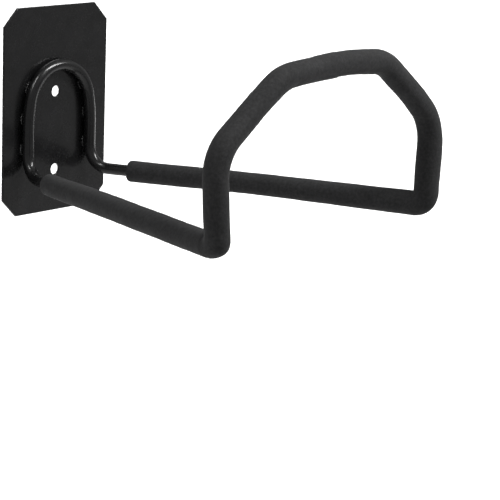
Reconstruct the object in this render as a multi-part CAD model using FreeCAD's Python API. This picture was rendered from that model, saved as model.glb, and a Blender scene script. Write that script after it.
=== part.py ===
"""Wall-mounted hose hanger: a bent steel rod welded to a flat wall plate, with foam sleeves on its arms.

Frame, in millimetres: the wall is the plane y = 0 and the hanger reaches out along -Y, +Z is up, and
the origin is the middle of the plate's back face. The hanger is symmetric about the plane x = 0.
Rises and drops are heights above and below the plate's middle, and the rod's places are on its axis.
"""

import FreeCAD
import Part

import math
import os

# Wall plate
PLATE_WIDTH = 116.0
PLATE_HEIGHT = 170.0
PLATE_THICKNESS = 2.0
PLATE_CORNER_CUT = 14.5
PLATE_EDGE_ROUND = 0.5
SCREW_HOLE_DIAMETER = 9.0
SCREW_HOLE_SPACING = 65.0
UPPER_HOLE_RISE = 14.5

# Arch and legs of the rod, flat on the plate
ROD_DIAMETER = 9.5
ROD_SEAT_GAP = 0.1
LEG_SPACING = 70.5
CROWN_RISE = 37.0
CROWN_RADIUS = 33.5
SPRING_DROP = 14.0
ARM_DROP = 52.0
LEG_BEND_INSIDE_RADIUS = 13.25

# Front loop of the rod, in a plane parallel to the wall
LOOP_REACH = 290.0
FOOT_DROP = 49.5
FOOT_SPACING = 246.0
SHOULDER_RISE = 17.0
SHOULDER_SPACING = 256.0
TOP_CORNER_RISE = 67.0
TOP_CORNER_SPACING = 118.0
TOP_PEAK = 3.0
ROD_END_GAP = 1.0

# Foam sleeves, each from the bend at an arm's root round to the seam at the peak of the loop
FOAM_WALL = 4.45
FOAM_FIT = 0.1
FOAM_SETBACK = 20.0
FOAM_END_ROUND = 1.2
FOAM_SEAM_GAP = 0.2
FOOT_BEND_INSIDE_RADIUS = 1.5
SHOULDER_BEND_INSIDE_RADIUS = 24.0
TOP_BEND_INSIDE_RADIUS = 28.0

# Weld beads, in a row up each side of each leg
WELDS_PER_ROW = 3
WELD_RADIUS = 2.6
WELD_RUN = 5.0
WELD_FIRST = 4.0
WELD_PITCH = 25.0

# Sizes that follow from the ones above
ROD_RADIUS = ROD_DIAMETER / 2
ROD_AXIS_Y = -(PLATE_THICKNESS + ROD_SEAT_GAP + ROD_RADIUS)
BORE_RADIUS = ROD_RADIUS + FOAM_FIT
FOAM_RADIUS = BORE_RADIUS + FOAM_WALL
LEG_BEND_RADIUS = LEG_BEND_INSIDE_RADIUS + ROD_RADIUS
FOOT_BEND_RADIUS = FOOT_BEND_INSIDE_RADIUS + FOAM_RADIUS
SHOULDER_BEND_RADIUS = SHOULDER_BEND_INSIDE_RADIUS + FOAM_RADIUS
TOP_BEND_RADIUS = TOP_BEND_INSIDE_RADIUS + FOAM_RADIUS
BEND_RADII = [LEG_BEND_RADIUS, FOOT_BEND_RADIUS, SHOULDER_BEND_RADIUS, TOP_BEND_RADIUS]

# Points and planes this close are taken as one
SAME_PLACE = 1e-6

ORIGIN = FreeCAD.Vector(0, 0, 0)
FORWARD = FreeCAD.Vector(0, -1, 0)
SIDEWAYS = FreeCAD.Vector(1, 0, 0)


def point(x, y, z):
    """A point of the hanger's frame."""
    return FreeCAD.Vector(x, y, z)


def unit(vector):
    """The vector's direction."""
    return vector / vector.Length


def mirrored(points):
    """The same points on the other side of the plane x = 0, in reverse order."""
    return [point(-p.x, p.y, p.z) for p in reversed(points)]


def bend_setback(before, corner, after, radius):
    """How far from a corner its bend starts and ends: radius over the tangent of half the corner's angle."""
    half_angle = (before - corner).getAngle(after - corner) / 2
    return radius / math.tan(half_angle)


def rounded_path(corners, radii):
    """Edges along a polyline, with each inner corner rounded by a tangent arc of the given radius."""
    edges = []
    start = corners[0]
    for before, corner, after, radius in zip(corners, corners[1:], corners[2:], radii):
        setback = bend_setback(before, corner, after, radius)
        backward = unit(before - corner)
        onward = unit(after - corner)
        bend_start = corner + backward * setback
        bend_end = corner + onward * setback
        to_centre = math.hypot(setback, radius)
        bend_middle = corner + unit(backward + onward) * (to_centre - radius)
        edges.append(Part.LineSegment(start, bend_start).toShape())
        edges.append(Part.Arc(bend_start, bend_middle, bend_end).toShape())
        start = bend_end
    edges.append(Part.LineSegment(start, corners[-1]).toShape())
    return edges


def round_bar(edges, radius):
    """A solid round bar of this radius along a path of tangent edges."""
    first = edges[0]
    start = first.valueAt(first.FirstParameter)
    along = first.tangentAt(first.FirstParameter)
    section = Part.Face(Part.Wire(Part.makeCircle(radius, start, along)))
    return Part.Wire(edges).makePipe(section)


def place_along(edges, distance):
    """The point and the direction at a distance along a path of tangent edges."""
    for edge in edges:
        if distance <= edge.Length:
            parameter = edge.getParameterByLength(distance)
            return edge.valueAt(parameter), edge.tangentAt(parameter)
        distance -= edge.Length
    raise ValueError("the path ends before this distance")


def spring_point():
    """Where the right leg ends and the arch springs from it."""
    return point(LEG_SPACING / 2, ROD_AXIS_Y, -SPRING_DROP)


def loop_corners():
    """Corners of the rod's axis on the right: arm root, foot, shoulder, top corner and peak."""
    return [
        point(LEG_SPACING / 2, ROD_AXIS_Y, -ARM_DROP),
        point(FOOT_SPACING / 2, -LOOP_REACH, -FOOT_DROP),
        point(SHOULDER_SPACING / 2, -LOOP_REACH, SHOULDER_RISE),
        point(TOP_CORNER_SPACING / 2, -LOOP_REACH, TOP_CORNER_RISE),
        point(0, -LOOP_REACH, TOP_CORNER_RISE + TOP_PEAK),
    ]


def half_rod_corners():
    """Corners of the rod's axis on the right, from the top of the leg to the rod's end beside the peak."""
    loop = loop_corners()
    top_corner, peak = loop[-2:]
    rod_end = peak + unit(top_corner - peak) * (ROD_END_GAP / 2)
    return [spring_point()] + loop[:-1] + [rod_end]


def left_half_path():
    """The rod's axis from its left end at the peak to the top of the left leg."""
    return rounded_path(mirrored(half_rod_corners()), BEND_RADII[::-1])


def right_half_path():
    """The rod's axis from the top of the right leg to its right end at the peak."""
    return rounded_path(half_rod_corners(), BEND_RADII)


def arch_path():
    """The three-centred arch, from the top of the left leg over the crown to the top of the right leg.

    Each side arc leaves its leg upright and meets the crown arc in a common tangent.
    """
    half_span = LEG_SPACING / 2
    crown_centre = point(0, ROD_AXIS_Y, CROWN_RISE - CROWN_RADIUS)
    centre_rise = crown_centre.z + SPRING_DROP
    side_radius = (half_span**2 + centre_rise**2 - CROWN_RADIUS**2) / (2 * (half_span - CROWN_RADIUS))
    side_centre = point(half_span - side_radius, ROD_AXIS_Y, -SPRING_DROP)
    to_joint = unit(crown_centre - side_centre)
    joint = side_centre + to_joint * side_radius
    side_middle = side_centre + unit(SIDEWAYS + to_joint) * side_radius
    crown = point(0, ROD_AXIS_Y, CROWN_RISE)
    right_side = [joint, side_middle, spring_point()]
    return [
        Part.Arc(*mirrored(right_side)).toShape(),
        Part.Arc(mirrored([joint])[0], crown, joint).toShape(),
        Part.Arc(*right_side).toShape(),
    ]


def wall_plate():
    """Flat plate with cut corners, two screw holes on its centre line and rounded front edges."""
    half_width = PLATE_WIDTH / 2
    half_height = PLATE_HEIGHT / 2
    upper_right = [
        point(half_width, 0, half_height - PLATE_CORNER_CUT),
        point(half_width - PLATE_CORNER_CUT, 0, half_height),
    ]
    lower_right = [point(p.x, 0, -p.z) for p in reversed(upper_right)]
    right_side = lower_right + upper_right
    outline = right_side + mirrored(right_side)
    plate = Part.Face(Part.makePolygon(outline + outline[:1])).extrude(FORWARD * PLATE_THICKNESS)
    front_edges = [e for e in plate.Edges if e.BoundBox.YMax < SAME_PLACE - PLATE_THICKNESS]
    plate = plate.makeFillet(PLATE_EDGE_ROUND, front_edges)
    for height in (UPPER_HOLE_RISE, UPPER_HOLE_RISE - SCREW_HOLE_SPACING):
        hole = Part.makeCylinder(SCREW_HOLE_DIAMETER / 2, PLATE_THICKNESS, point(0, 0, height), FORWARD)
        plate = plate.cut(hole)
    return plate


def hanger_rod():
    """One bent rod, whose two ends face each other at the peak of the loop, inside the sleeves."""
    return round_bar(left_half_path() + arch_path() + right_half_path(), ROD_RADIUS)


def right_foam_sleeve():
    """Foam tube from just past the bend at the arm's root, round the loop, to the seam at the peak."""
    root, foot, shoulder, top_corner, peak = loop_corners()
    bend_end = bend_setback(spring_point(), root, foot, LEG_BEND_RADIUS)
    start = root + unit(foot - root) * (bend_end + FOAM_SETBACK)
    past_seam = peak + unit(peak - top_corner) * FOAM_RADIUS
    corners = [start, foot, shoulder, top_corner, past_seam]
    edges = rounded_path(corners, BEND_RADII[1:])
    body = round_bar(edges, FOAM_RADIUS)
    rim = [e for e in body.Edges if e.isClosed() and e.CenterOfMass.isEqual(start, SAME_PLACE)]
    sleeve = body.makeFillet(FOAM_END_ROUND, rim).cut(round_bar(edges, BORE_RADIUS))
    box = sleeve.BoundBox
    corner = point(FOAM_SEAM_GAP / 2 - box.XLength, box.YMin, box.ZMin)
    return sleeve.cut(Part.makeBox(box.XLength, box.YLength, box.ZLength, corner))


def weld_bead(place, along, side, rod):
    """A bead in the corner between rod and plate: a round-ended bar, cut off at the plate and at the rod."""
    across = along.cross(FORWARD) * side
    seat = point(place.x, -PLATE_THICKNESS, place.z) + across * ROD_RADIUS
    ends = [seat - along * (WELD_RUN / 2), seat + along * (WELD_RUN / 2)]
    bar = Part.makeCylinder(WELD_RADIUS, WELD_RUN, ends[0], along)
    bar = bar.fuse([Part.makeSphere(WELD_RADIUS, end) for end in ends])
    bar_length = WELD_RUN + 2 * WELD_RADIUS
    corner = seat - point(bar_length, 0, bar_length)
    in_plate = Part.makeBox(2 * bar_length, bar_length, 2 * bar_length, corner)
    return bar.cut(in_plate).cut(rod)


def weld_beads(rod):
    """Rows of beads up both sides of the left leg and its part of the arch, and the same on the right."""
    upward_path = left_half_path()[-1:] + arch_path()
    left_beads = []
    for number in range(WELDS_PER_ROW):
        place, along = place_along(upward_path, WELD_FIRST + number * WELD_PITCH)
        left_beads += [weld_bead(place, along, side, rod) for side in (-1, 1)]
    right_beads = [bead.mirror(ORIGIN, SIDEWAYS) for bead in left_beads]
    return Part.makeCompound([solid for bead in left_beads + right_beads for solid in bead.Solids])


def main():
    """Build every piece and write it as a file of its own."""
    rod = hanger_rod()
    right_sleeve = right_foam_sleeve()
    pieces = {
        "wall_plate": wall_plate(),
        "hanger_rod": rod,
        "weld_beads": weld_beads(rod),
        "foam_sleeve_left": right_sleeve.mirror(ORIGIN, SIDEWAYS),
        "foam_sleeve_right": right_sleeve,
    }
    os.makedirs("parts", exist_ok=True)
    for name, shape in pieces.items():
        shape.exportStep(f"parts/{name}.step")
        print(f"{name}: {len(shape.Solids)} solids, {shape.Volume:.0f} mm3, valid {shape.isValid()}")


main()
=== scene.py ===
"""Looks of the hose hanger: coated steel plate, bent rod and stitch welds, and foam sleeves on the arms.

Everything is in metres and in the CAD frame: the wall is the plane y = 0, the hanger reaches out along
-Y, +Z is up, and the origin is the middle of the plate's back face. Every piece is a surface worked out
as whole arrays, from a profile carried along the rod's line or spread between two outlines.
"""

import logging
import math
from dataclasses import dataclass
from enum import Enum

import bmesh
import bpy
import numpy as np
from mathutils import Matrix, Vector


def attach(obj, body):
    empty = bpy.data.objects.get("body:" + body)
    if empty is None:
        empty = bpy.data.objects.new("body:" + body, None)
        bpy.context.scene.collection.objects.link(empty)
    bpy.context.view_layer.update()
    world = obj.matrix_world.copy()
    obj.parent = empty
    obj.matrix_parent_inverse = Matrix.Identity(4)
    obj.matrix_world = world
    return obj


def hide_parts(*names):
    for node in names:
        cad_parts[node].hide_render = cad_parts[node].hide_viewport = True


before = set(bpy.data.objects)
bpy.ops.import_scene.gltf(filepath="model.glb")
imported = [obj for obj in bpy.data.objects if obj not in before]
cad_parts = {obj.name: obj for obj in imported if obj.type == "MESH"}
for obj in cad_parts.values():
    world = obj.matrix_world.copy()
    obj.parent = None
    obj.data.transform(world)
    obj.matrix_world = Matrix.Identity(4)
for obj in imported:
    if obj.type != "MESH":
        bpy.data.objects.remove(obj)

Array = np.ndarray

LOG = logging.getLogger("hose_hanger")
MM = 0.001
BODY = "root"
MERGE_DISTANCE = 1e-7
WHITE = (1.0, 1.0, 1.0, 1.0)

# Nearly all of a noise pattern's values lie between these two
NOISE_LOW = 0.3
NOISE_HIGH = 0.7

TO_WALL = np.array([0.0, 1.0, 0.0])
FORWARD = -TO_WALL
SIDEWAYS = np.array([1.0, 0.0, 0.0])
UPWARD = np.array([0.0, 0.0, 1.0])


class Side(Enum):
    """The hanger's two mirrored halves, with the sign of their x."""

    LEFT = -1
    RIGHT = 1


class Slot(Enum):
    """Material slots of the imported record."""

    COAT = "black_powder_coat"
    FOAM = "charcoal_foam"


def unit(vectors: Array) -> Array:
    """Directions of the vectors along the last axis."""
    return vectors / np.linalg.norm(vectors, axis=-1, keepdims=True)


def eased(share: Array) -> Array:
    """A smooth step from 0 to 1: three times the square less twice the cube."""
    share = np.clip(share, 0.0, 1.0)
    return share * share * (3.0 - 2.0 * share)


def grid_faces(rows: int, columns: int, ring_rows: bool, ring_columns: bool, first: int = 0) -> Array:
    """Quads of a grid of vertices that are numbered row by row.

    Args:
        rows: number of rows.
        columns: number of vertices in each row.
        ring_rows: True if the last row joins the first one.
        ring_columns: True if the last column joins the first one.
        first: number of the grid's first vertex.

    Returns:
        One row of four vertex numbers for each quad.
    """
    row = np.arange(rows if ring_rows else rows - 1)[:, None]
    column = np.arange(columns if ring_columns else columns - 1)[None, :]
    next_row = (row + 1) % rows
    next_column = (column + 1) % columns
    corners = [row * columns + column, next_row * columns + column,
               next_row * columns + next_column, row * columns + next_column]
    return np.stack([corner.ravel() for corner in corners], axis=1) + first


def joined_grids(grids: list[Array]) -> tuple[Array, list]:
    """Vertices and quads of several grids whose rows are closed rings.

    Args:
        grids: places of each grid, by row, column and axis.

    Returns:
        All vertices, one to a row, and the vertex numbers of each face.
    """
    faces = []
    first = 0
    for grid in grids:
        rows, columns = grid.shape[:2]
        faces += grid_faces(rows, columns, False, True, first).tolist()
        first += rows * columns
    return np.concatenate([grid.reshape(-1, 3) for grid in grids]), faces


def quarter_round(radius: float, steps: int) -> tuple[Array, Array]:
    """A rounded rim from face to wall: insets go by one less the sine, depths by one less the cosine.

    Args:
        radius: radius of the rounding.
        steps: number of its steps.

    Returns:
        Insets from the wall and depths below the face.
    """
    angle = np.linspace(0.0, math.pi / 2, steps + 1)
    return radius * (1.0 - np.sin(angle)), radius * (1.0 - np.cos(angle))


def full_turn(sides: int) -> Array:
    """Equal angles round a full circle."""
    return np.arange(sides) * (2 * math.pi / sides)


@dataclass
class Line:
    """Stations along a smooth line in space.

    Attributes:
        points: one place for each station.
        tangents: unit direction of travel at each station.
    """

    points: Array
    tangents: Array

    @property
    def distances(self) -> Array:
        """Distance of each station from the line's start."""
        steps = np.linalg.norm(np.diff(self.points, axis=0), axis=1)
        return np.concatenate([[0.0], np.cumsum(steps)])

    @property
    def length(self) -> float:
        """Length of the whole line."""
        return float(self.distances[-1])

    @property
    def across(self) -> Array:
        """Unit directions beside the line, square to it and to the wall's normal."""
        return unit(np.cross(self.tangents, TO_WALL))

    def at(self, distances: Array) -> "Line":
        """The line read at other distances, straight between its stations.

        Args:
            distances: distances from the line's start.

        Returns:
            A line with one station for each distance.
        """
        own = self.distances
        points = [np.interp(distances, own, self.points[:, axis]) for axis in range(3)]
        tangents = [np.interp(distances, own, self.tangents[:, axis]) for axis in range(3)]
        return Line(np.stack(points, axis=1), unit(np.stack(tangents, axis=1)))

    def up_to(self, reach: float) -> "Line":
        """The line from its start, cut off at a distance."""
        own = self.distances
        return self.at(np.append(own[own < reach], reach))

    def nearest(self, place: Array) -> float:
        """Distance along the line to the station that is nearest to a place."""
        return float(self.distances[np.argmin(np.linalg.norm(self.points - place, axis=1))])

    def reversed(self) -> "Line":
        """The same line, travelled the other way."""
        return Line(self.points[::-1], -self.tangents[::-1])

    def mirrored(self) -> "Line":
        """The line on the other side of the plane x = 0."""
        flip = np.array([-1.0, 1.0, 1.0])
        return Line(self.points * flip, self.tangents * flip)

    def tube(self, radius: Array, turns: Array) -> Array:
        """Rings round the line: at each station a circle square to it, of the given radius.

        Args:
            radius: one radius for each station, or for each station and turn.
            turns: angles round the line, from the side of it that is square to the wall's normal.

        Returns:
            Places, by station, turn and axis.
        """
        spread = np.broadcast_to(np.reshape(radius, (len(self.points), -1)), (len(self.points), len(turns)))
        return self.points[:, None, :] + self.spokes(turns) * spread[:, :, None]

    def spokes(self, turns: Array) -> Array:
        """Unit directions away from the line: cosine times the one beside it plus sine times the one over it.

        Args:
            turns: angles round the line.

        Returns:
            Directions, by station, turn and axis.
        """
        over = np.cross(self.across, self.tangents)
        beside = np.cos(turns)[None, :, None] * self.across[:, None]
        return beside + np.sin(turns)[None, :, None] * over[:, None]


def joined(lines: list[Line]) -> Line:
    """One line from several that follow on from each other.

    Args:
        lines: the lines, each starting where the one before it ends.

    Returns:
        Their stations, with each shared one kept once.
    """
    points = [line.points[:-1] for line in lines[:-1]] + [lines[-1].points]
    tangents = [line.tangents[:-1] for line in lines[:-1]] + [lines[-1].tangents]
    return Line(np.concatenate(points), np.concatenate(tangents))


def straight(start: Array, end: Array, step: float) -> Line:
    """A straight run in equal steps: start plus a share of the way to the end.

    Args:
        start: where it starts.
        end: where it ends.
        step: length of its steps, about.

    Returns:
        The run's stations.
    """
    count = max(2, math.ceil(np.linalg.norm(end - start) / step) + 1)
    share = np.linspace(0.0, 1.0, count)[:, None]
    return Line(start + (end - start) * share, np.repeat(unit(end - start)[None], count, axis=0))


def arc(centre: Array, start: Array, along: Array, turn: float, step: float) -> Line:
    """A circular arc: cosine times the first spoke plus sine times the first tangent.

    Args:
        centre: middle of the circle.
        start: where the arc starts.
        along: unit tangent at the start.
        turn: angle of the arc.
        step: length of its steps, about.

    Returns:
        The arc's stations.
    """
    spoke = start - centre
    radius = np.linalg.norm(spoke)
    count = max(3, math.ceil(radius * turn / step) + 1)
    angle = np.linspace(0.0, turn, count)[:, None]
    points = centre + np.cos(angle) * spoke + np.sin(angle) * along * radius
    return Line(points, np.cos(angle) * along - np.sin(angle) * spoke / radius)


def bent_line(corners: list[Array], radii: list[float], run_step: float, arc_step: float) -> Line:
    """Straight runs from corner to corner, with a tangent arc at each inner corner.

    An arc leaves its runs at the radius over the tangent of half the corner's angle from the corner.

    Args:
        corners: the line's corners, with its two ends.
        radii: bend radius at each inner corner.
        run_step: length of the steps on a run, about.
        arc_step: length of the steps on an arc, about.

    Returns:
        The line's stations.
    """
    lines = []
    start = corners[0]
    for before, corner, after, radius in zip(corners, corners[1:], corners[2:], radii):
        backward = unit(before - corner)
        onward = unit(after - corner)
        half_angle = math.acos(float(backward @ onward)) / 2
        bend_start = corner + backward * radius / math.tan(half_angle)
        centre = corner + unit(backward + onward) * radius / math.sin(half_angle)
        bend = arc(centre, bend_start, -backward, math.pi - 2 * half_angle, arc_step)
        lines += [straight(start, bend_start, run_step), bend]
        start = bend.points[-1]
    return joined(lines + [straight(start, corners[-1], run_step)])


@dataclass(frozen=True)
class RodRoute:
    """Where the rod's axis runs, with the sizes of the CAD model.

    Rises and drops are heights above and below the plate's middle.
    """

    rod_radius: float = 4.75 * MM
    seat_gap: float = 0.1 * MM
    plate_thickness: float = 2.0 * MM
    leg_spacing: float = 70.5 * MM
    crown_rise: float = 37.0 * MM
    crown_radius: float = 33.5 * MM
    spring_drop: float = 14.0 * MM
    arm_drop: float = 52.0 * MM
    leg_bend_radius: float = 18.0 * MM
    loop_reach: float = 290.0 * MM
    foot_drop: float = 49.5 * MM
    foot_spacing: float = 246.0 * MM
    foot_bend_radius: float = 10.8 * MM
    shoulder_rise: float = 17.0 * MM
    shoulder_spacing: float = 256.0 * MM
    shoulder_bend_radius: float = 33.3 * MM
    top_corner_rise: float = 67.0 * MM
    top_corner_spacing: float = 118.0 * MM
    top_bend_radius: float = 37.3 * MM
    top_peak: float = 3.0 * MM
    run_step: float = 2.0 * MM
    arc_step: float = 0.6 * MM

    @property
    def axis_y(self) -> float:
        """Place of the legs' axis along y, on the plate's front."""
        return -(self.plate_thickness + self.seat_gap + self.rod_radius)

    @property
    def spring(self) -> Array:
        """Where the right leg ends and the arch springs from it."""
        return np.array([self.leg_spacing / 2, self.axis_y, -self.spring_drop])

    @property
    def loop_corners(self) -> list[Array]:
        """Corners on the right: arm root, foot, shoulder, top corner and peak."""
        places = [
            (self.leg_spacing / 2, self.axis_y, -self.arm_drop),
            (self.foot_spacing / 2, -self.loop_reach, -self.foot_drop),
            (self.shoulder_spacing / 2, -self.loop_reach, self.shoulder_rise),
            (self.top_corner_spacing / 2, -self.loop_reach, self.top_corner_rise),
            (0.0, -self.loop_reach, self.top_corner_rise + self.top_peak),
        ]
        return [np.array(place) for place in places]

    @property
    def bend_radii(self) -> list[float]:
        """Bend radii at the arm root, foot, shoulder and top corner."""
        return [self.leg_bend_radius, self.foot_bend_radius, self.shoulder_bend_radius, self.top_bend_radius]

    def half(self) -> Line:
        """The rod's axis from the top of the right leg, along the arm and round to the peak of the loop."""
        return bent_line([self.spring] + self.loop_corners, self.bend_radii, self.run_step, self.arc_step)

    def arch(self) -> Line:
        """The three-centred arch, from the top of the left leg over the crown to the right leg.

        Each side arc leaves its leg upright and meets the crown's arc in a common tangent, so its radius
        is (half span squared + rise squared - crown radius squared) / (2 (half span - crown radius)).

        Returns:
            The arch's stations.
        """
        half_span = self.leg_spacing / 2
        crown_centre = np.array([0.0, self.axis_y, self.crown_rise - self.crown_radius])
        rise = crown_centre[2] + self.spring_drop
        side_radius = (half_span**2 + rise**2 - self.crown_radius**2) / (2 * (half_span - self.crown_radius))
        side_centre = self.spring - SIDEWAYS * side_radius
        side_turn = math.atan2(rise, crown_centre[0] - side_centre[0])
        right_side = arc(side_centre, self.spring, UPWARD, side_turn, self.arc_step)
        joint, along = right_side.points[-1], right_side.tangents[-1]
        crown_turn = math.pi - 2 * side_turn
        crown = arc(crown_centre, joint, along, crown_turn, self.arc_step)
        left_side = right_side.mirrored().reversed()
        return joined([right_side, crown, left_side]).reversed()

    def arm_start(self, setback: float) -> Array:
        """A place on the right arm, past the end of the bend at its root.

        Args:
            setback: how far past that end.

        Returns:
            The place.
        """
        root, foot = self.loop_corners[:2]
        onward = unit(foot - root)
        half_angle = math.acos(float(unit(self.spring - root) @ onward)) / 2
        return root + onward * (self.leg_bend_radius / math.tan(half_angle) + setback)


@dataclass(frozen=True)
class Grain:
    """A noise pattern: its waves to the metre, its levels of finer detail and the strength of those."""

    scale: float
    detail: float
    roughness: float


@dataclass(frozen=True)
class ShaderSheet:
    """One finish's material, with short calls to add and join its nodes."""

    material: bpy.types.Material

    @classmethod
    def named(cls, name: str) -> "ShaderSheet":
        """A sheet on a new material.

        Args:
            name: the material's name.

        Returns:
            The sheet.
        """
        material = bpy.data.materials.new(name)
        material.use_nodes = True
        return cls(material)

    @property
    def surface(self) -> bpy.types.Node:
        """The Principled shader."""
        return self.material.node_tree.nodes["Principled BSDF"]

    def add(self, kind: str, **values: object) -> bpy.types.Node:
        """Adds a node.

        Args:
            kind: Blender's name of the node type.
            values: input values by name, with underscores for spaces.

        Returns:
            The new node.
        """
        node = self.material.node_tree.nodes.new(kind)
        for name, value in values.items():
            node.inputs[name.replace("_", " ")].default_value = value
        return node

    def join(self, output: bpy.types.NodeSocket, target: bpy.types.NodeSocket) -> None:
        """Links an output to an input."""
        self.material.node_tree.links.new(output, target)

    def noise(self, grain: Grain) -> bpy.types.NodeSocket:
        """Noise on Object coordinates.

        Args:
            grain: the pattern's sizes.

        Returns:
            A value from 0 to 1.
        """
        place = self.add("ShaderNodeTexCoord")
        noise = self.add("ShaderNodeTexNoise", Scale=grain.scale, Detail=grain.detail,
                         Roughness=grain.roughness)
        self.join(place.outputs["Object"], noise.inputs["Vector"])
        return noise.outputs["Fac"]

    def cells(self, scale: float, randomness: float) -> bpy.types.NodeSocket:
        """Distance to the middle of the nearest cell, on Object coordinates.

        Args:
            scale: cells to the metre.
            randomness: how far the cells lie off a regular grid, from 0 to 1.

        Returns:
            The distance, in cells.
        """
        place = self.add("ShaderNodeTexCoord")
        cells = self.add("ShaderNodeTexVoronoi", Scale=scale, Randomness=randomness)
        self.join(place.outputs["Object"], cells.inputs["Vector"])
        return cells.outputs["Distance"]

    def ramp(self, source: bpy.types.NodeSocket, stops: list[tuple[float, tuple]]) -> bpy.types.NodeSocket:
        """Colours between stops.

        Args:
            source: value from 0 to 1.
            stops: places along the ramp, each with its colour.

        Returns:
            The ramp's colour.
        """
        ramp = self.add("ShaderNodeValToRGB")
        elements = ramp.color_ramp.elements
        for number, (place, colour) in enumerate(stops):
            element = elements[number] if number < len(elements) else elements.new(place)
            element.position = place
            element.color = (*colour, 1.0)
        self.join(source, ramp.inputs["Fac"])
        return ramp.outputs["Color"]

    def spread(self, source: bpy.types.NodeSocket, low: float, high: float) -> bpy.types.NodeSocket:
        """The range of a noise pattern's values, carried to another one.

        Args:
            source: the noise.
            low: value at the range's low end.
            high: value at its high end.

        Returns:
            The value between low and high.
        """
        node = self.add("ShaderNodeMapRange", From_Min=NOISE_LOW, From_Max=NOISE_HIGH, To_Min=low,
                        To_Max=high)
        self.join(source, node.inputs["Value"])
        return node.outputs["Result"]

    def bump(self, height: bpy.types.NodeSocket, depth: float,
             under: bpy.types.Node | None = None) -> bpy.types.Node:
        """A bump of the given depth in metres.

        Args:
            height: height from 0 to 1.
            depth: depth of the relief.
            under: bump that this one lies on.

        Returns:
            The bump node.
        """
        node = self.add("ShaderNodeBump", Strength=1.0, Distance=depth)
        self.join(height, node.inputs["Height"])
        if under is not None:
            self.join(under.outputs["Normal"], node.inputs["Normal"])
        return node


@dataclass(frozen=True)
class PowderCoat:
    """Semi-gloss black powder coat: faint orange peel, slow waves and a little change of tone and gloss.

    A thin, clearer gloss lies over the broad one, so that a light shows as a bright core with soft edges.
    """

    name: str = "black_powder_coat_finish"
    dark: tuple = (0.0042, 0.0042, 0.0044)
    light: tuple = (0.0076, 0.0076, 0.0080)
    tone: Grain = Grain(45.0, 4.0, 0.6)
    tone_stops: tuple = (0.35, 0.68)
    gloss: Grain = Grain(130.0, 3.0, 0.55)
    gloss_low: float = 0.23
    gloss_high: float = 0.30
    waves: Grain = Grain(90.0, 2.0, 0.4)
    wave_depth: float = 0.014 * MM
    peel: Grain = Grain(720.0, 2.0, 0.5)
    peel_depth: float = 0.004 * MM
    specular_level: float = 0.33
    clear_gloss: float = 0.25
    clear_roughness: float = 0.10

    def material(self) -> bpy.types.Material:
        """Builds the finish: noise for tone and gloss, and two layers of bump.

        Returns:
            The new material.
        """
        sheet = ShaderSheet.named(self.name)
        surface = sheet.surface
        colour = sheet.ramp(sheet.noise(self.tone), list(zip(self.tone_stops, (self.dark, self.light))))
        sheet.join(colour, surface.inputs["Base Color"])
        gloss = sheet.spread(sheet.noise(self.gloss), self.gloss_low, self.gloss_high)
        sheet.join(gloss, surface.inputs["Roughness"])
        waves = sheet.bump(sheet.noise(self.waves), self.wave_depth)
        peel = sheet.bump(sheet.noise(self.peel), self.peel_depth, waves)
        sheet.join(peel.outputs["Normal"], surface.inputs["Normal"])
        sheet.join(peel.outputs["Normal"], surface.inputs["Coat Normal"])
        surface.inputs["Specular IOR Level"].default_value = self.specular_level
        surface.inputs["Coat Weight"].default_value = self.clear_gloss
        surface.inputs["Coat Roughness"].default_value = self.clear_roughness
        return sheet.material


@dataclass(frozen=True)
class FoamSkin:
    """Matte charcoal foam: a mottled skin of fine closed cells, with a soft sheen at grazing angles."""

    name: str = "charcoal_foam_finish"
    dark: tuple = (0.0141, 0.0141, 0.0146)
    middle: tuple = (0.0216, 0.0216, 0.0222)
    light: tuple = (0.0320, 0.0320, 0.0329)
    mottle: Grain = Grain(420.0, 5.0, 0.68)
    mottle_stops: tuple = (0.30, 0.50, 0.72)
    clouds: Grain = Grain(55.0, 3.0, 0.55)
    roughness_low: float = 0.74
    roughness_high: float = 0.92
    dimples: Grain = Grain(330.0, 4.0, 0.6)
    dimple_depth: float = 0.14 * MM
    cell_scale: float = 1300.0
    cell_randomness: float = 1.0
    cell_depth: float = 0.10 * MM
    specular_level: float = 0.25
    sheen: float = 0.06
    sheen_roughness: float = 0.45

    def material(self) -> bpy.types.Material:
        """Builds the finish: mottled colour, cloudy roughness, and cells on shallow dimples as bump.

        Returns:
            The new material.
        """
        sheet = ShaderSheet.named(self.name)
        surface = sheet.surface
        stops = list(zip(self.mottle_stops, (self.dark, self.middle, self.light)))
        sheet.join(sheet.ramp(sheet.noise(self.mottle), stops), surface.inputs["Base Color"])
        clouds = sheet.noise(self.clouds)
        sheet.join(sheet.spread(clouds, self.roughness_low, self.roughness_high), surface.inputs["Roughness"])
        dimples = sheet.bump(sheet.noise(self.dimples), self.dimple_depth)
        cells = sheet.bump(sheet.cells(self.cell_scale, self.cell_randomness), self.cell_depth, dimples)
        sheet.join(cells.outputs["Normal"], surface.inputs["Normal"])
        surface.inputs["Specular IOR Level"].default_value = self.specular_level
        surface.inputs["Sheen Weight"].default_value = self.sheen
        surface.inputs["Sheen Roughness"].default_value = self.sheen_roughness
        return sheet.material


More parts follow.
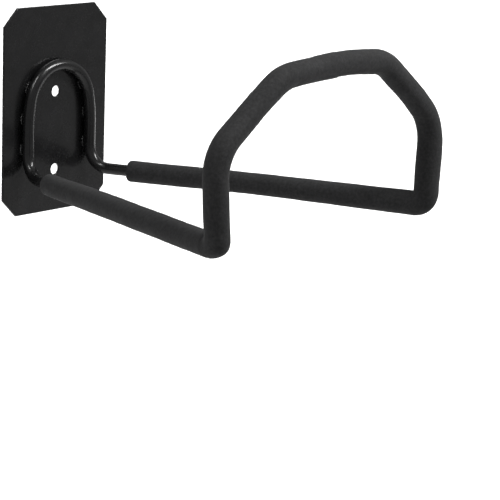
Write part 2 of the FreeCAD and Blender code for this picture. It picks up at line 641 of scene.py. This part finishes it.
@dataclass(frozen=True)
class PaleFloor:
    """Even, pale, matte studio floor."""

    name: str = "pale_floor_finish"
    tint: tuple = (0.86, 0.86, 0.86)
    shade: tuple = (0.83, 0.83, 0.83)
    drift: Grain = Grain(0.6, 2.0, 0.5)
    roughness: float = 0.9
    specular_level: float = 0.0

    def material(self) -> bpy.types.Material:
        """Builds the finish: a slow drift between two pale greys.

        Returns:
            The new material.
        """
        sheet = ShaderSheet.named(self.name)
        stops = [(NOISE_LOW, self.shade), (NOISE_HIGH, self.tint)]
        sheet.join(sheet.ramp(sheet.noise(self.drift), stops), sheet.surface.inputs["Base Color"])
        sheet.surface.inputs["Roughness"].default_value = self.roughness
        sheet.surface.inputs["Specular IOR Level"].default_value = self.specular_level
        return sheet.material


def make_object(name: str, places: Array, faces: list, material: bpy.types.Material) -> bpy.types.Object:
    """A smooth mesh object at the origin.

    Args:
        name: name of the object and its mesh.
        places: vertices, one to a row.
        faces: vertex numbers of each face.
        material: its finish.

    Returns:
        The object, linked into the scene.
    """
    mesh = bpy.data.meshes.new(name)
    mesh.from_pydata(places.tolist(), [], faces)
    mesh.shade_smooth()
    mesh.materials.append(material)
    piece = bpy.data.objects.new(name, mesh)
    bpy.context.scene.collection.objects.link(piece)
    return piece


def close_seams(piece: bpy.types.Object) -> None:
    """Merges vertices that lie on each other and turns every face outwards.

    Args:
        piece: a closed piece that is made of several grids.
    """
    shell = bmesh.new()
    shell.from_mesh(piece.data)
    bmesh.ops.remove_doubles(shell, verts=shell.verts, dist=MERGE_DISTANCE)
    bmesh.ops.recalc_face_normals(shell, faces=shell.faces)
    shell.to_mesh(piece.data)
    shell.free()


def stand_for(piece: bpy.types.Object, node: str) -> None:
    """Puts a piece on the hanger's body in the place of a CAD node and reports it.

    Args:
        piece: the finished piece.
        node: name of the CAD node.
    """
    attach(piece, BODY)
    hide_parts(node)
    LOG.info("%s: %d faces, stands for %s", piece.name, len(piece.data.polygons), node)


@dataclass
class WallPlate:
    """Flat steel plate with cut corners, two screw holes and edges that the coat has rounded."""

    finish: bpy.types.Material
    width: float = 116.0 * MM
    height: float = 170.0 * MM
    thickness: float = 2.0 * MM
    corner_cut: float = 14.5 * MM
    hole_radius: float = 4.5 * MM
    hole_spacing: float = 65.0 * MM
    upper_hole_rise: float = 14.5 * MM
    front_round: float = 0.55 * MM
    back_round: float = 0.30 * MM
    rim_round: float = 0.35 * MM
    round_steps: int = 5
    edge_step: float = 3.0 * MM
    face_shares: tuple = (0.0, 0.012, 0.12, 0.35, 0.65, 0.9, 0.99, 1.0)

    @property
    def split_rise(self) -> float:
        """Height of the line halfway between the holes, where the faces' two fans meet."""
        return self.upper_hole_rise - self.hole_spacing / 2

    def corners(self, inset: float) -> Array:
        """Corners of the right half's outline, drawn in by an inset, from below to above.

        Every side moves in by the inset; a cut corner's line x + z = constant loses root two times it.

        Args:
            inset: how far the outline is drawn in.

        Returns:
            Flat places, by number and axis.
        """
        half_width = self.width / 2 - inset
        half_height = self.height / 2 - inset
        reach = self.width / 2 + self.height / 2 - self.corner_cut - math.sqrt(2) * inset
        places = [(0.0, -half_height), (reach - half_height, -half_height), (half_width, half_width - reach),
                  (half_width, self.split_rise), (half_width, reach - half_width),
                  (reach - half_height, half_height), (0.0, half_height)]
        return np.array(places)

    def stretch(self, corners: Array) -> Array:
        """Places along a run of corners, in as many equal steps on each stretch as the full outline has.

        Args:
            corners: corners of the right half's outline.

        Returns:
            Flat places, by number and axis.
        """
        lengths = np.linalg.norm(np.diff(self.corners(0.0), axis=0), axis=1)
        counts = [math.ceil(float(length) / self.edge_step) for length in lengths]
        shares = np.concatenate([number + np.arange(count) / count for number, count in enumerate(counts)])
        shares = np.append(shares, len(counts))
        numbers = np.arange(len(corners))
        return np.stack([np.interp(shares, numbers, corners[:, axis]) for axis in range(2)], axis=1)

    def outline(self, inset: float) -> Array:
        """The whole outline: up the right side and down the left.

        Args:
            inset: how far it is drawn in.

        Returns:
            Flat places, by number and axis.
        """
        right = self.stretch(self.corners(inset))
        left = (right * np.array([-1.0, 1.0]))[::-1]
        return np.concatenate([right[:-1], left[:-1]])

    def edge_profile(self, front_round: float, back_round: float) -> list[tuple[float, float]]:
        """Profile of an edge: front rounding, wall and back rounding.

        Args:
            front_round: radius of the front rounding.
            back_round: radius of the back rounding.

        Returns:
            Insets, each with its place along y.
        """
        front_inset, front_depth = quarter_round(front_round, self.round_steps)
        back_inset, back_depth = quarter_round(back_round, self.round_steps)
        front = zip(front_inset, front_depth - self.thickness)
        back = zip(back_inset[::-1], -back_depth[::-1])
        return [*front, *back]

    def place(self, flat: Array, y: float) -> Array:
        """Flat places set at a depth."""
        return np.stack([flat[..., 0], np.full(flat.shape[:-1], y), flat[..., 1]], axis=-1)

    def border(self, upper: bool, inset: float) -> Array:
        """Outline of one half of a face: up or down the right side, back down the left and along the split.

        Args:
            upper: True for the half with the upper hole.
            inset: how far the outline is drawn in.

        Returns:
            Flat places, by number and axis.
        """
        right = self.stretch(self.corners(inset))
        split = int(np.argmin(np.abs(right[:, 1] - self.split_rise)))
        away = right[split:] if upper else right[split::-1]
        back = (away * np.array([-1.0, 1.0]))[-2::-1]
        half_width = self.width / 2 - inset
        seam_count = 2 * math.ceil(self.width / 2 / self.edge_step)
        seam_x = np.linspace(-half_width, half_width, seam_count + 1)[1:-1]
        seam = np.stack([seam_x, np.full(len(seam_x), self.split_rise)], axis=1)
        return np.concatenate([away, back, seam])

    def fan(self, upper: bool, inset: float, rim_radius: float, y: float) -> Array:
        """One half of a face: straight spokes, from a hole's rim by shares of the way to the half's outline.

        The rim's places face the full outline's, so that the front and back rims lie one behind the other.

        Args:
            upper: True for the half with the upper hole.
            inset: how far the outline is drawn in.
            rim_radius: radius of the hole's rim.
            y: depth of the face.

        Returns:
            Places, by share of the spoke, number of the spoke and axis.
        """
        centre = np.array([0.0, self.hole_rise(upper)])
        rim = centre + unit(self.border(upper, 0.0) - centre) * rim_radius
        shares = np.array(self.face_shares)[:, None, None]
        return self.place(rim + (self.border(upper, inset) - rim) * shares, y)

    def hole_rise(self, upper: bool) -> float:
        """Height of the upper or the lower hole."""
        return self.upper_hole_rise - (0.0 if upper else self.hole_spacing)

    def hole(self, rim_places: Array, upper: bool) -> Array:
        """A hole's wall: the edge's profile carried round the hole, on the spokes of the front rim's places.

        Args:
            rim_places: places of the front rim.
            upper: True for the upper hole.

        Returns:
            Places, by place in the profile, spoke and axis.
        """
        middle = np.array([0.0, -self.thickness, self.hole_rise(upper)])
        spokes = unit(rim_places - middle)
        rings = [spokes * (self.hole_radius + inset) + np.array([0.0, y, middle[2]])
                 for inset, y in self.edge_profile(self.rim_round, self.rim_round)]
        return np.array(rings)

    def build(self) -> bpy.types.Object:
        """Makes the plate's edge, faces and holes, closes their seams and stands it for its node.

        Returns:
            The plate.
        """
        profile = self.edge_profile(self.front_round, self.back_round)
        grids = [np.array([self.place(self.outline(inset), y) for inset, y in profile])]
        rim_radius = self.hole_radius + self.rim_round
        for upper in (True, False):
            front = self.fan(upper, self.front_round, rim_radius, -self.thickness)
            back = self.fan(upper, self.back_round, rim_radius, 0.0)
            grids += [front, back, self.hole(front[0], upper)]
        piece = make_object("wall_plate_coated", *joined_grids(grids), self.finish)
        close_seams(piece)
        stand_for(piece, "wall_plate")
        return piece


@dataclass
class HangerRod:
    """The one bent rod: arch and legs on the plate, arms and loop inside the sleeves."""

    route: RodRoute
    finish: bpy.types.Material
    sides: int = 56
    end_gap: float = 1.0 * MM
    end_chamfer: float = 0.8 * MM

    def line(self) -> Line:
        """The whole axis, from the left end at the peak over the arch to the right end.

        Returns:
            The axis, with the gap between its ends left open.
        """
        half = self.route.half()
        right = half.up_to(half.length - self.end_gap / 2)
        left = right.mirrored().reversed()
        return joined([left, self.route.arch(), right])

    def build(self) -> bpy.types.Object:
        """Sweeps the round section along the axis, with chamfered ends, and stands it for its node.

        Returns:
            The rod.
        """
        line = self.line()
        distances = line.distances
        end_distance = np.minimum(distances, line.length - distances)
        inset = np.clip(self.end_chamfer - end_distance, 0.0, self.end_chamfer)
        rings = line.tube(self.route.rod_radius - inset, full_turn(self.sides))
        faces = grid_faces(len(rings), self.sides, False, True).tolist()
        last = (len(rings) - 1) * self.sides
        faces.append(list(range(self.sides)))
        faces.append(list(range(last + self.sides - 1, last - 1, -1)))
        piece = make_object("hanger_rod_coated", rings.reshape(-1, 3), faces, self.finish)
        stand_for(piece, "hanger_rod")
        return piece


@dataclass
class StitchWelds:
    """Short rippled beads in the corners between the legs and the plate."""

    route: RodRoute
    finish: bpy.types.Material
    per_row: int = 3
    first: float = 4.0 * MM
    pitch: float = 25.0 * MM
    half_length: float = 5.1 * MM
    toe_on_plate: float = 5.5 * MM
    root_on_plate: float = 2.0 * MM
    climb: float = math.radians(50.0)
    bulge: float = 0.8 * MM
    ripples: int = 4
    ripple_depth: float = 0.24
    tip_size: float = 0.02
    stations: int = 61
    flat_steps: int = 3
    face_steps: int = 12

    def swell(self) -> Array:
        """Size of the bead along its length: a half ellipse, drawn in between the ridges of a rectified sine.

        Returns:
            Shares of the full size, by station.
        """
        along = np.linspace(-1.0, 1.0, self.stations)
        ellipse = np.sqrt(np.clip(1.0 - along**2, self.tip_size**2, 1.0))
        ridges = np.abs(np.sin(along * self.ripples * math.pi / 2))
        return ellipse * (1.0 - self.ripple_depth * (1.0 - ridges))

    def profile(self, swell: Array) -> tuple[Array, Array]:
        """Closed outline of the bead's section at each station.

        It runs out along the plate to the toe, up a face to the rod, and back round the rod. The face bulges
        away from the corner by a parabola, four times the share of the way up times the share that is left.

        Args:
            swell: size of the bead at each station.

        Returns:
            Distances beside the rod's axis and heights above the plate, by station and place.
        """
        radius = self.route.rod_radius
        axis_height = radius + self.route.seat_gap
        root_angle = math.asin(self.root_on_plate / radius)
        toe = self.root_on_plate + (self.toe_on_plate - self.root_on_plate) * swell
        angle = root_angle + (self.climb - root_angle) * swell
        out = np.linspace(0.0, 1.0, self.flat_steps, endpoint=False)[None, :]
        up = np.linspace(0.0, 1.0, self.face_steps, endpoint=False)[None, :]
        plate_x = self.root_on_plate + (toe[:, None] - self.root_on_plate) * out
        toe_x, toe_y = toe[:, None], np.zeros((len(toe), 1))
        top_x = radius * np.sin(angle)[:, None]
        top_y = axis_height - radius * np.cos(angle)[:, None]
        lift = self.bulge * swell[:, None] * 4.0 * up * (1.0 - up) * math.sqrt(0.5)
        face_x = toe_x + (top_x - toe_x) * up + lift
        face_y = toe_y + (top_y - toe_y) * up + lift
        down = np.linspace(0.0, 1.0, self.flat_steps + 1)[None, :]
        back = angle[:, None] + (root_angle - angle[:, None]) * down
        rod_x = radius * np.sin(back)
        rod_y = axis_height - radius * np.cos(back)
        beside = np.concatenate([plate_x, face_x, rod_x], axis=1)
        height = np.concatenate([np.zeros_like(plate_x), face_y, rod_y], axis=1)
        return beside, height

    def bead(self, line: Line, middle: float, hand: int) -> Array:
        """One bead: its section carried along one side of the rod's line and closed at a pole at each end.

        Args:
            line: the rod's axis up the leg and over the arch.
            middle: distance along it to the bead's middle.
            hand: 1 or -1, for the side of the rod.

        Returns:
            Places, by row, place in the section and axis.
        """
        along = line.at(middle + np.linspace(-1.0, 1.0, self.stations) * self.half_length)
        across = unit(np.cross(along.tangents, FORWARD)) * hand
        foot = along.points * np.array([1.0, 0.0, 1.0]) + FORWARD * self.route.plate_thickness
        beside, height = self.profile(self.swell())
        rings = foot[:, None] + across[:, None] * beside[..., None] + FORWARD * height[..., None]
        poles = np.zeros_like(rings[:2]) + rings[[0, -1]].mean(axis=1, keepdims=True)
        return np.concatenate([poles[:1], rings, poles[1:]])

    def build(self) -> bpy.types.Object:
        """Makes every bead, joins them as one piece and stands it for its node.

        The line that they follow starts half a bead below the legs' straight run, so that the lowest beads
        taper off as the others do.

        Returns:
            The beads, as one piece.
        """
        half = self.route.half()
        bend_top = -self.route.arm_drop + self.route.leg_bend_radius
        leg_top = half.points[0]
        leg_foot = np.array([leg_top[0], leg_top[1], bend_top - self.half_length])
        right_line = joined([straight(leg_foot, leg_top, self.route.run_step), self.route.arch().reversed()])
        beads = []
        for line in (right_line, right_line.mirrored()):
            for number in range(self.per_row):
                middle = self.half_length + self.first + number * self.pitch
                beads += [self.bead(line, middle, hand) for hand in (1, -1)]
        piece = make_object("stitch_welds_coated", *joined_grids(beads), self.finish)
        close_seams(piece)
        stand_for(piece, "weld_beads")
        return piece


@dataclass(frozen=True)
class FoamLie:
    """The foam at one place of a sleeve: its radius, and how far outwards it sits off the rod's axis."""

    radius: float
    lay: float = 0.0


@dataclass(frozen=True)
class SleeveForm:
    """How the foam of one sleeve lies, from the plate's end to the seam, and how it swells at the foot.

    The shares say where along the slant and along the top bar their lies are.
    """

    arm: FoamLie
    foot: FoamLie
    upright: FoamLie
    shoulder: FoamLie
    slant: FoamLie
    top_corner: FoamLie
    top_bar: FoamLie
    seam: FoamLie
    slant_share: float
    top_bar_share: float
    foot_swell: float
    swell_width: float
    swell_shift: float
    plate_end: FoamLie = FoamLie(8.9 * MM)

    def lies(self) -> list[FoamLie]:
        """Every lie, in order along the sleeve."""
        return [self.plate_end, self.arm, self.foot, self.upright, self.shoulder, self.slant, self.top_corner,
                self.top_bar, self.seam]


LEFT_FORM = SleeveForm(
    arm=FoamLie(9.4 * MM, -0.8 * MM),
    foot=FoamLie(9.35 * MM, -0.75 * MM),
    upright=FoamLie(9.4 * MM, 0.1 * MM),
    shoulder=FoamLie(9.45 * MM, 0.3 * MM),
    slant=FoamLie(9.1 * MM, 0.45 * MM),
    top_corner=FoamLie(9.3 * MM, -1.25 * MM),
    top_bar=FoamLie(9.2 * MM, -0.6 * MM),
    seam=FoamLie(9.6 * MM, -0.35 * MM),
    slant_share=0.55,
    top_bar_share=0.45,
    foot_swell=2.1 * MM,
    swell_width=4.2 * MM,
    swell_shift=2.8 * MM,
)
RIGHT_FORM = SleeveForm(
    arm=FoamLie(8.85 * MM, -0.8 * MM),
    foot=FoamLie(9.75 * MM, 0.5 * MM),
    upright=FoamLie(10.2 * MM, -0.2 * MM),
    shoulder=FoamLie(9.8 * MM, -1.85 * MM),
    slant=FoamLie(9.5 * MM, 0.7 * MM),
    top_corner=FoamLie(9.6 * MM, 0.7 * MM),
    top_bar=FoamLie(9.35 * MM, 1.2 * MM),
    seam=FoamLie(9.2 * MM, 0.05 * MM),
    slant_share=0.5,
    top_bar_share=0.6,
    foot_swell=1.5 * MM,
    swell_width=9.0 * MM,
    swell_shift=0.0,
)


@dataclass
class FoamSleeve:
    """Foam tube on one arm, from near the plate round the loop to the seam at its peak.

    The foam is a soft tube drawn over the rod. Its radius and its lay on the rod change a little along it,
    it creases on the inside of the tight bend at the foot, and it stands full on the outside of it.
    """

    route: RodRoute
    side: Side
    finish: bpy.types.Material
    form: SleeveForm
    setback: float = 20.0 * MM
    bore_radius: float = 4.85 * MM
    arm_share: float = 0.4
    end_round: float = 1.6 * MM
    seam_round: float = 0.015 * MM
    seam_gap: float = 0.01 * MM
    seam_trim: float = 10.0 * MM
    wander: float = 0.08 * MM
    crease_depth: float = 0.3 * MM
    crease_width: float = 1.1 * MM
    crease_pitch: float = 4.0 * MM
    crease_places: tuple = (-1.0, 0.0, 1.0)
    sides: int = 64
    round_steps: int = 6
    bore_step: float = 3.0 * MM
    wave_lengths: tuple = (61.0 * MM, 37.0 * MM, 23.0 * MM, 14.0 * MM)
    wave_fade: float = 0.5
    wave_phase: float = 1.7
    side_phase: float = 0.9
    padding: float = 0.95

    @property
    def hand(self) -> Array:
        """Signs that carry a place of the right side to this sleeve's side."""
        return np.array([self.side.value, 1.0, 1.0])

    def line(self) -> Line:
        """The rod's axis inside the sleeve, on this sleeve's side.

        Returns:
            The axis, from the plate's end to the seam.
        """
        corners = [self.route.arm_start(self.setback)] + self.route.loop_corners[1:]
        line = bent_line(corners, self.route.bend_radii[1:], self.route.run_step, self.route.arc_step)
        line = line.up_to(line.length - self.seam_gap / 2)
        return line.mirrored() if self.side is Side.LEFT else line

    def marks(self, line: Line) -> list[float]:
        """Distances along the sleeve to the places of its form.

        Args:
            line: the sleeve's axis.

        Returns:
            One distance for each place.
        """
        corners = [corner * self.hand for corner in self.route.loop_corners[1:4]]
        foot, shoulder, top_corner = [line.nearest(corner) for corner in corners]
        slant = shoulder + (top_corner - shoulder) * self.form.slant_share
        top_bar = top_corner + (line.length - top_corner) * self.form.top_bar_share
        return [0.0, foot * self.arm_share, foot, (foot + shoulder) / 2, shoulder, slant, top_corner, top_bar,
                line.length]

    def eased_along(self, line: Line, distances: Array, values: list[float]) -> Array:
        """Values of the form's places, eased from each place to the next.

        Args:
            line: the sleeve's axis.
            distances: distances along it.
            values: one value for each place of the form.

        Returns:
            One value for each distance.
        """
        marks = self.marks(line)
        result = np.full(len(distances), values[0])
        for near, far, low, high in zip(marks, marks[1:], values, values[1:]):
            result += (high - low) * eased((distances - near) / (far - near))
        return result

    def relief(self, line: Line, distances: Array, turns: Array, foot_distance: float) -> Array:
        """How far the skin stands off its mean radius: slow waves and the swell and creases at the foot.

        Each wave is a sine along the tube times a cosine round it. The swell and the creases are bell
        curves along the tube, weighed by the square of how far the skin faces out of or into the bend.

        Args:
            line: the sleeve's axis, read at the distances.
            distances: distances along the sleeve.
            turns: angles round it.
            foot_distance: distance along the sleeve to the bend at the foot.

        Returns:
            Heights, by distance and turn.
        """
        height = np.zeros((len(distances), len(turns)))
        for number, wave in enumerate(self.wave_lengths):
            phase = self.wave_phase * number + self.side_phase * self.side.value
            ripple = np.sin(2 * math.pi * distances / wave + phase)[:, None]
            size = self.wander / (1 + self.wave_fade * number)
            height += size * ripple * np.cos((number + 1) * turns + phase)[None, :]
        root, foot, shoulder = [corner * self.hand for corner in self.route.loop_corners[:3]]
        facing = line.spokes(turns) @ unit(unit(root - foot) + unit(shoulder - foot))
        offset = distances - foot_distance
        swell = np.exp(-(((offset - self.form.swell_shift) / self.form.swell_width) ** 2))[:, None]
        height += self.form.foot_swell * swell * np.clip(-facing, 0.0, 1.0) ** 2
        for place in self.crease_places:
            crease = np.exp(-(((offset - place * self.crease_pitch) / self.crease_width) ** 2))[:, None]
            height -= self.crease_depth * crease * np.clip(facing, 0.0, 1.0) ** 2
        return height

    def skin(self, axis: Line, distances: Array, inset: Array, turns: Array) -> Array:
        """The foam's outside: rings round the rod's axis, each moved outwards by its lay.

        Args:
            axis: the sleeve's axis.
            distances: distance of each ring along it.
            inset: how far each ring is drawn in, at the rounded rims.
            turns: angles round the axis.

        Returns:
            Places, by ring, turn and axis.
        """
        line = axis.at(distances)
        lies = self.form.lies()
        radius = self.eased_along(axis, distances, [lie.radius for lie in lies]) - inset
        lay = self.eased_along(axis, distances, [lie.lay for lie in lies])
        outward = line.across * -self.side.value
        height = self.relief(line, distances, turns, self.marks(axis)[2])
        return line.tube(radius[:, None] + height, turns) + (outward * lay[:, None])[:, None]

    def build(self) -> bpy.types.Object:
        """Carries the tube's closed section along the axis and stands it for its node.

        The rows go along the skin, over the rounded rim at the seam, back through the bore and over the
        rounded rim at the plate's end, so that the last row joins the first.

        Returns:
            The sleeve.
        """
        axis = self.line()
        lip_inset, lip_depth = quarter_round(self.end_round, self.round_steps)
        rim_inset, rim_depth = quarter_round(self.seam_round, self.round_steps)
        own = axis.distances
        body = own[(own > self.end_round + self.route.arc_step) & (own < axis.length - 2 * self.seam_round)]
        distances = np.concatenate([lip_depth, body, axis.length - rim_depth[::-1]])
        inset = np.concatenate([lip_inset, np.zeros(len(body)), rim_inset[::-1]])
        # Two rows of the bore to each of its steps
        bore = np.linspace(axis.length, 0.0, 2 * math.ceil(axis.length / self.bore_step))
        turns = full_turn(self.sides)
        rings = np.concatenate([self.skin(axis, distances, inset, turns),
                                axis.at(bore).tube(np.full(len(bore), self.bore_radius), turns)])
        rings = self.trimmed(axis, rings, np.concatenate([distances, bore]))
        faces = grid_faces(len(rings), self.sides, True, True).tolist()
        node = f"foam_sleeve_{self.side.name.lower()}"
        piece = make_object(f"{node}_skin", rings.reshape(-1, 3), faces, self.finish)
        stand_for(piece, node)
        return piece

    def trimmed(self, axis: Line, rings: Array, distances: Array) -> Array:
        """Slants the last rings along the tube, so that its end lies upright against the seam.

        A place moves along the tangent by its offset in x over the tangent's x, times an eased share.

        Args:
            axis: the sleeve's axis.
            rings: places, by row, turn and axis.
            distances: distance of each row along the sleeve.

        Returns:
            The slanted rings.
        """
        stations = axis.at(distances)
        share = eased((distances - axis.length + self.seam_trim) / self.seam_trim)
        lean = (rings[..., 0] - stations.points[:, None, 0]) / stations.tangents[:, None, 0]
        return rings - (share[:, None] * lean)[..., None] * stations.tangents[:, None]


@dataclass
class Softbox:
    """A soft studio light with a flat face of width by depth, turned about its own axis by a spin.

    A spread below half a turn is a grid in front of the face, which keeps the light off what is beside it.
    """

    name: str
    place: tuple
    target: tuple
    width: float
    depth: float
    power: float
    spin: float = 0.0
    spread: float = math.pi

    def build(self) -> bpy.types.Object:
        """Hangs the light at its place and turns it to its target; the camera doesn't see its face.

        Returns:
            The light.
        """
        data = bpy.data.lights.new(self.name, "AREA")
        data.shape = "RECTANGLE"
        data.size = self.width
        data.size_y = self.depth
        data.energy = self.power
        data.spread = self.spread
        light = bpy.data.objects.new(self.name, data)
        aim = (Vector(self.target) - Vector(self.place)).to_track_quat("-Z", "Y")
        hung = Matrix.Translation(self.place) @ aim.to_matrix().to_4x4()
        light.matrix_world = hung @ Matrix.Rotation(self.spin, 4, "Z")
        light.visible_camera = False
        bpy.context.scene.collection.objects.link(light)
        return light


@dataclass
class Studio:
    """Pale floor, even surroundings and soft lights from above: two on the hanger and one on the floor."""

    floor_drop: float = 0.62
    floor_reach: float = 9.0
    floor_rows: int = 3
    surround: float = 0.345
    lights: tuple = (
        Softbox(
            name="key_strip", place=(0.62, -1.10, 1.14), target=(0.0, -0.01, 0.03),
            width=1.20, depth=0.22, power=8.5, spin=math.radians(-48.0), spread=math.radians(100.0)),
        Softbox(
            name="left_strip", place=(-0.93, -0.18, 1.18), target=(0.0, -0.01, 0.03),
            width=0.11, depth=0.75, power=7.1, spin=math.radians(5.0)),
        Softbox(
            name="floor_softbox", place=(3.80, 2.10, 2.1), target=(3.80, 2.10, -0.62),
            width=6.4, depth=4.4, power=165.0, spin=math.radians(40.2), spread=math.radians(70.0)),
    )

    def build(self) -> None:
        """Lays the floor and sets the surroundings and lights."""
        rows = np.linspace(-self.floor_reach, self.floor_reach, self.floor_rows)
        x, y = np.meshgrid(rows, rows, indexing="ij")
        places = np.stack([x, y, np.full_like(x, -self.floor_drop)], axis=-1).reshape(-1, 3)
        faces = grid_faces(self.floor_rows, self.floor_rows, False, False).tolist()
        floor = make_object("floor", places, faces, PaleFloor().material())
        world = bpy.data.worlds.new("white_surroundings")
        world.use_nodes = True
        background = world.node_tree.nodes["Background"]
        background.inputs["Color"].default_value = WHITE
        background.inputs["Strength"].default_value = self.surround
        bpy.context.scene.world = world
        bpy.context.scene.view_settings.view_transform = "Standard"
        for light in self.lights:
            light.build()


@dataclass
class PhotoCamera:
    """Camera at the photograph's viewing angle: a long lens from the left front, a little above."""

    place: tuple = (-1.193095, -1.222375, 0.275195)
    direction: tuple = (0.745308, 0.628360, -0.222889)
    roll: float = math.radians(2.124)
    sensor: float = 36.0
    lens: float = 150.326

    def build(self) -> bpy.types.Object:
        """Makes the camera and gives it to the scene.

        The camera's right side is level, then rolled about its direction by the roll angle.

        Returns:
            The camera.
        """
        forward = unit(np.array(self.direction))
        level = unit(np.cross(forward, UPWARD))
        upright = np.cross(level, forward)
        right = math.cos(self.roll) * level + math.sin(self.roll) * upright
        top = np.cross(right, forward)
        pose = np.eye(4)
        pose[:3, 0], pose[:3, 1], pose[:3, 2], pose[:3, 3] = right, top, -forward, self.place
        data = bpy.data.cameras.new("photo_camera")
        data.sensor_width = self.sensor
        data.lens = self.lens
        camera = bpy.data.objects.new("photo_camera", data)
        camera.matrix_world = Matrix(pose.tolist())
        bpy.context.scene.collection.objects.link(camera)
        bpy.context.scene.camera = camera
        return camera


def main() -> None:
    """Builds the camera, the pieces of the hanger in order and the studio."""
    logging.basicConfig(level=logging.INFO, format="%(name)s: %(message)s")
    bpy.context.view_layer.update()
    route = RodRoute()
    coat = PowderCoat().material()
    foam = FoamSkin().material()
    PhotoCamera().build()
    WallPlate(coat).build()
    HangerRod(route, coat).build()
    StitchWelds(route, coat).build()
    FoamSleeve(route, Side.RIGHT, foam, RIGHT_FORM).build()
    FoamSleeve(route, Side.LEFT, foam, LEFT_FORM).build()
    Studio().build()


if __name__ == "__main__":
    main()
